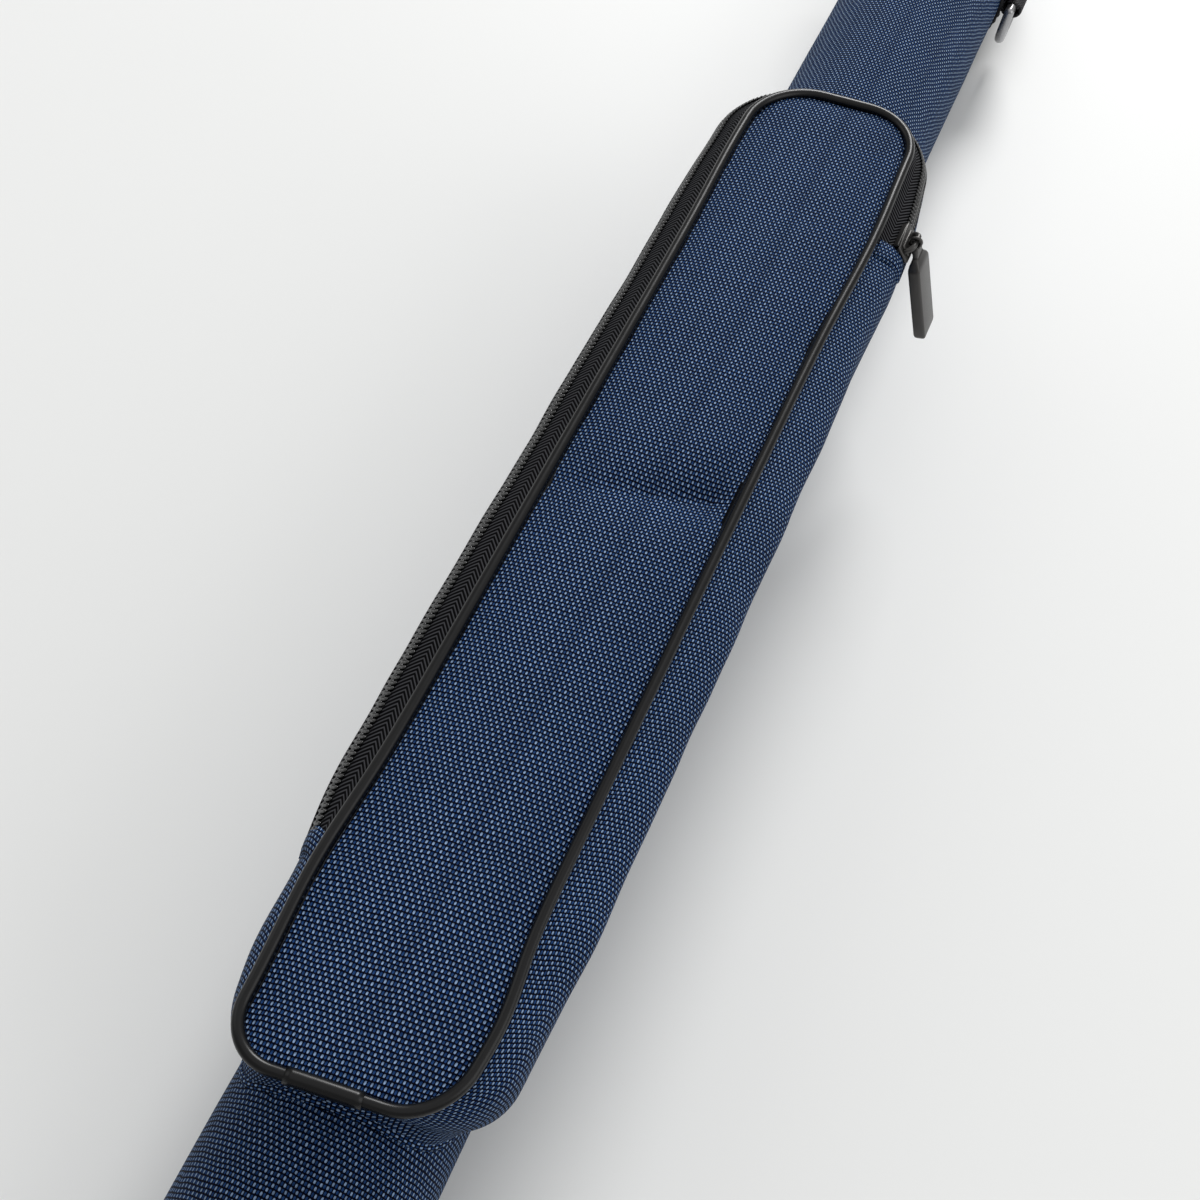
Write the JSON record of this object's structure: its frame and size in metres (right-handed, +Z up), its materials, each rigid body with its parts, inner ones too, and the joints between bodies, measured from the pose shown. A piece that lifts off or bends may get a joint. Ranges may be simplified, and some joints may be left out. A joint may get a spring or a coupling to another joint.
{
  "type": "fishing rod case",
  "caption": "Rigid round rod tube covered in navy woven fabric, with a long zipped accessory pocket on top, a hinged zipped lid and webbing bands with D-rings.",
  "frame": {"origin": "on the tube's axis at the floor of the lined bore", "axes": "+X along the tube from the closed base to the lid, +Z up through the pocket, +Y to the pocket's zipped side"},
  "size_m": [0.8224, 0.101, 0.0846],
  "materials": {
    "navy_weave": "coarse plain-weave polyester, slightly shiny",
    "black_piping": "glossy vinyl cord",
    "black_tape": "herringbone zip tape",
    "black_coil": "nylon coil",
    "gunmetal": "dark satin plating",
    "core_plastic": "moulded black plastic",
    "foam": "closed-cell foam",
    "lining": "fine nylon taffeta",
    "black_webbing": "ribbed polyester webbing",
    "ring_steel": "black-nickel wire"
  },
  "bodies": {
    "case": {"tube_core": "core_plastic", "tube_liner": "lining", "tube_cover": "navy_weave", "mouth_rim": "core_plastic", "base_plug": "core_plastic", "base_pad": "foam", "base_end_cover": "navy_weave", "base_piping": "black_piping", "lid_hinge_tube_side": "navy_weave", "lid_zip_tape_tube": "black_tape", "lid_zip_coil_tube": "black_coil", "pocket_floor": "lining", "pocket_gusset": "navy_weave", "pocket_panel_fixed": "navy_weave", "piping_fixed": "black_piping", "piping_sleeve": "black_piping", "zip_tape_lower": "black_tape", "zip_tape_upper_ends": "black_tape", "zip_coil_lower": "black_coil", "zip_coil_upper_ends": "black_coil", "zip_end_tab_left": "navy_weave", "zip_end_tab_right": "navy_weave", "base_band": "black_webbing", "lid_band": "black_webbing", "base_ring_tab": "black_webbing", "lid_ring_tab": "black_webbing"},
    "lid": {"lid_shell": "core_plastic", "lid_end_plug": "core_plastic", "lid_pad": "foam", "lid_cover": "navy_weave", "lid_end_cover": "navy_weave", "lid_piping": "black_piping", "lid_hinge_lid_side": "navy_weave", "lid_zip_tape_lid": "black_tape", "lid_zip_coil_lid": "black_coil"},
    "lid_zip_slider": {"lid_slider": "gunmetal"},
    "lid_zip_pull": {"lid_pull": "gunmetal"},
    "flap": {"pocket_panel_flap": "navy_weave", "flap_foam": "foam", "piping_flap": "black_piping", "zip_tape_flap": "black_tape", "zip_coil_flap": "black_coil"},
    "zip_slider": {"pocket_slider": "gunmetal", "slider_bail": "gunmetal"},
    "zip_pull": {"pocket_pull": "gunmetal"},
    "base_ring": {"base_d_ring": "ring_steel"},
    "lid_ring": {"lid_d_ring": "ring_steel"}
  },
  "joints": [
    {"name": "lid_hinge", "type": "hinge", "parent": "case", "child": "lid", "pos_m": [0.7682, 0, 0.0315], "axis": [0, -1, 0], "range_deg": [0, 135]},
    {"name": "lid_slider_run", "type": "hinge", "parent": "case", "child": "lid_zip_slider", "pos_m": [0.768, 0, 0], "axis": [1, 0, 0], "range_deg": [-284, 0]},
    {"name": "lid_pull_swing", "type": "hinge", "parent": "lid_zip_slider", "child": "lid_zip_pull", "pos_m": [0.768, 0.02192, 0.02805], "axis": [1, 0, 0], "range_deg": [0, 100]},
    {"name": "flap_hinge", "type": "hinge", "parent": "case", "child": "flap", "pos_m": [0.5, -0.0275, 0.0513], "axis": [1, 0, 0], "range_deg": [0, 105]},
    {"name": "slider_run", "type": "slide", "parent": "case", "child": "zip_slider", "axis": [1, 0, 0], "range_m": [0, 0.016]},
    {"name": "pull_swing", "type": "hinge", "parent": "zip_slider", "child": "zip_pull", "pos_m": [0.537, -0.04094, 0.04663], "axis": [1, 0, 0], "range_deg": [-120, 4]},
    {"name": "base_ring_swing", "type": "hinge", "parent": "case", "child": "base_ring", "pos_m": [0.0565, -0.0349, 0.002], "axis": [1, 0, 0], "range_deg": [-165, 2]},
    {"name": "lid_ring_swing", "type": "hinge", "parent": "case", "child": "lid_ring", "pos_m": [0.7415, -0.0349, 0.002], "axis": [1, 0, 0], "range_deg": [-165, 2]}
  ]
}
